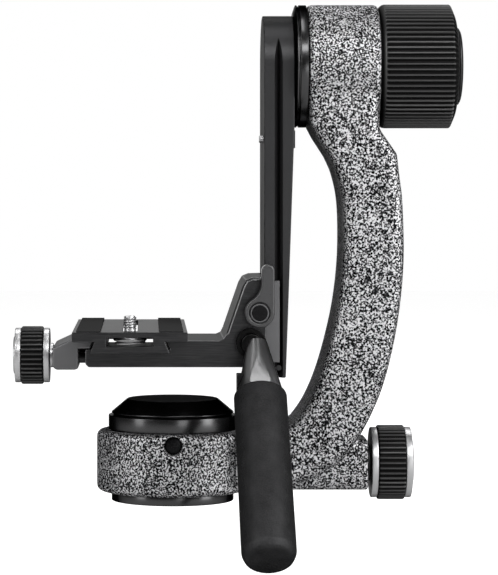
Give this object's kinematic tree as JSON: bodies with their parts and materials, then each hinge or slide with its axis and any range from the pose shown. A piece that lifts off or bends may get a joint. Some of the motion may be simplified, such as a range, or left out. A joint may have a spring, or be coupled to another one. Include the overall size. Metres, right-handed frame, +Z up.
{
  "type": "gimbal tripod head",
  "caption": "Side-mount gimbal tripod head: panning base, swept arm, swinging plate, height-adjustable L-bracket, dovetail clamp with lens plate and a foam-gripped handle.",
  "frame": {"origin": "centre of the base disc's underside, on the pan axis, where the head seats on a tripod", "axes": "+Z up along the pan axis; +X towards the arm and the tilt knob; +Y away from the side with the handle, so the tilt axle lies along X"},
  "size_m": [0.2198, 0.1887, 0.2626],
  "materials": {
    "hammertone": "hammertone",
    "black_anodised": "satin black",
    "steel": "turned",
    "silver_aluminium": "turned",
    "brass": "plain",
    "ribbed_rubber": "matte",
    "black_plastic": "satin",
    "grey_metal": "satin",
    "foam": "foam"
  },
  "bodies": {
    "base": {"base_disc": "black_anodised", "lower_pan_bearing": "steel", "upper_pan_bearing": "steel", "pan_nut": "steel"},
    "arm": {"arm_casting": "hammertone", "pan_ring": "black_anodised", "pan_cap": "black_anodised", "housing_plug": "black_anodised", "lock_bush": "black_anodised", "brake_shoe": "brass", "left_tilt_bearing": "steel", "right_tilt_bearing": "steel"},
    "pan_lock": {"pan_knob_core": "silver_aluminium", "pan_knob_grip": "ribbed_rubber"},
    "tilt_lock": {"tilt_knob_core": "black_anodised", "tilt_knob_grip": "ribbed_rubber", "tilt_knob_cap": "black_plastic"},
    "cradle": {"tilt_axle": "steel", "tilt_hub": "black_anodised", "swing_plate": "black_anodised", "stop_tab": "black_anodised", "lower_stop_screw": "steel"},
    "stop_button": {"stop_pin": "steel"},
    "bracket": {"l_bracket": "black_anodised", "front_jaw_strip": "silver_aluminium", "rear_jaw_strip": "silver_aluminium", "lever_stud": "steel", "rosette": "black_anodised"},
    "height_lever": {"lever": "black_plastic", "lever_ring": "steel", "lever_button": "black_plastic"},
    "moving_jaw": {"clamp_jaw": "black_anodised", "front_guide_rod": "steel", "rear_guide_rod": "steel"},
    "clamp_knob": {"clamp_knob_core": "silver_aluminium", "clamp_knob_grip": "ribbed_rubber", "clamp_screw": "steel"},
    "plate": {"lens_plate": "black_anodised", "left_pad": "ribbed_rubber", "right_pad": "ribbed_rubber"},
    "screw_carrier": {"screw_washer": "steel"},
    "screw": {"camera_screw": "steel"},
    "handle": {"handle_neck": "grey_metal", "neck_block": "black_plastic", "handle_tube": "grey_metal", "handle_grip": "foam"}
  },
  "joints": [
    {"name": "pan", "type": "hinge", "parent": "base", "child": "arm", "pos_m": [0, 0, 0.02], "axis": [0, 0, 1], "continuous": true},
    {"name": "pan_lock_turn", "type": "hinge", "parent": "arm", "child": "pan_lock", "pos_m": [0.1, 0, 0.0183], "axis": [1, 0, 0], "range_deg": [0, 270]},
    {"name": "tilt_lock_turn", "type": "hinge", "parent": "arm", "child": "tilt_lock", "pos_m": [0.12, 0, 0.2128], "axis": [1, 0, 0], "range_deg": [0, 270]},
    {"name": "tilt", "type": "hinge", "parent": "arm", "child": "cradle", "pos_m": [0.08, 0, 0.2128], "axis": [1, 0, 0], "range_deg": [-90, 6]},
    {"name": "stop_press", "type": "slide", "parent": "cradle", "child": "stop_button", "axis": [1, 0, 0], "range_m": [0, 0.0018], "stiffness_N_per_m": 300},
    {"name": "height", "type": "slide", "parent": "cradle", "child": "bracket", "axis": [0, 0, 1], "range_m": [-0.001, 0.062]},
    {"name": "height_lever_swing", "type": "hinge", "parent": "bracket", "child": "height_lever", "pos_m": [0.0413, -0.034, 0.0934], "axis": [0, 1, 0], "range_deg": [-100, 0]},
    {"name": "jaw_slide", "type": "slide", "parent": "bracket", "child": "moving_jaw", "axis": [-1, 0, 0], "range_m": [0, 0.004]},
    {"name": "clamp_knob_turn", "type": "hinge", "parent": "moving_jaw", "child": "clamp_knob", "pos_m": [-0.07, 0, 0.0709], "axis": [-1, 0, 0], "range_deg": [0, 1440]},
    {"name": "plate_slide", "type": "slide", "parent": "bracket", "child": "plate", "axis": [0, 1, 0], "range_m": [-0.02, 0.02]},
    {"name": "screw_slide", "type": "slide", "parent": "plate", "child": "screw_carrier", "axis": [0, 1, 0], "range_m": [-0.006, 0.08]},
    {"name": "screw_turn", "type": "hinge", "parent": "screw_carrier", "child": "screw", "pos_m": [-0.0207, -0.038, 0.085], "axis": [0, 0, 1], "continuous": true},
    {"name": "handle_swing", "type": "hinge", "parent": "bracket", "child": "handle", "pos_m": [0.0373, -0.035, 0.0786], "axis": [0, 1, 0], "range_deg": [-180, 40]}
  ],
  "couplings": [
    {"joint": "clamp_knob_turn", "follows": "jaw_slide", "rad_per_m": 6283.2}
  ]
}
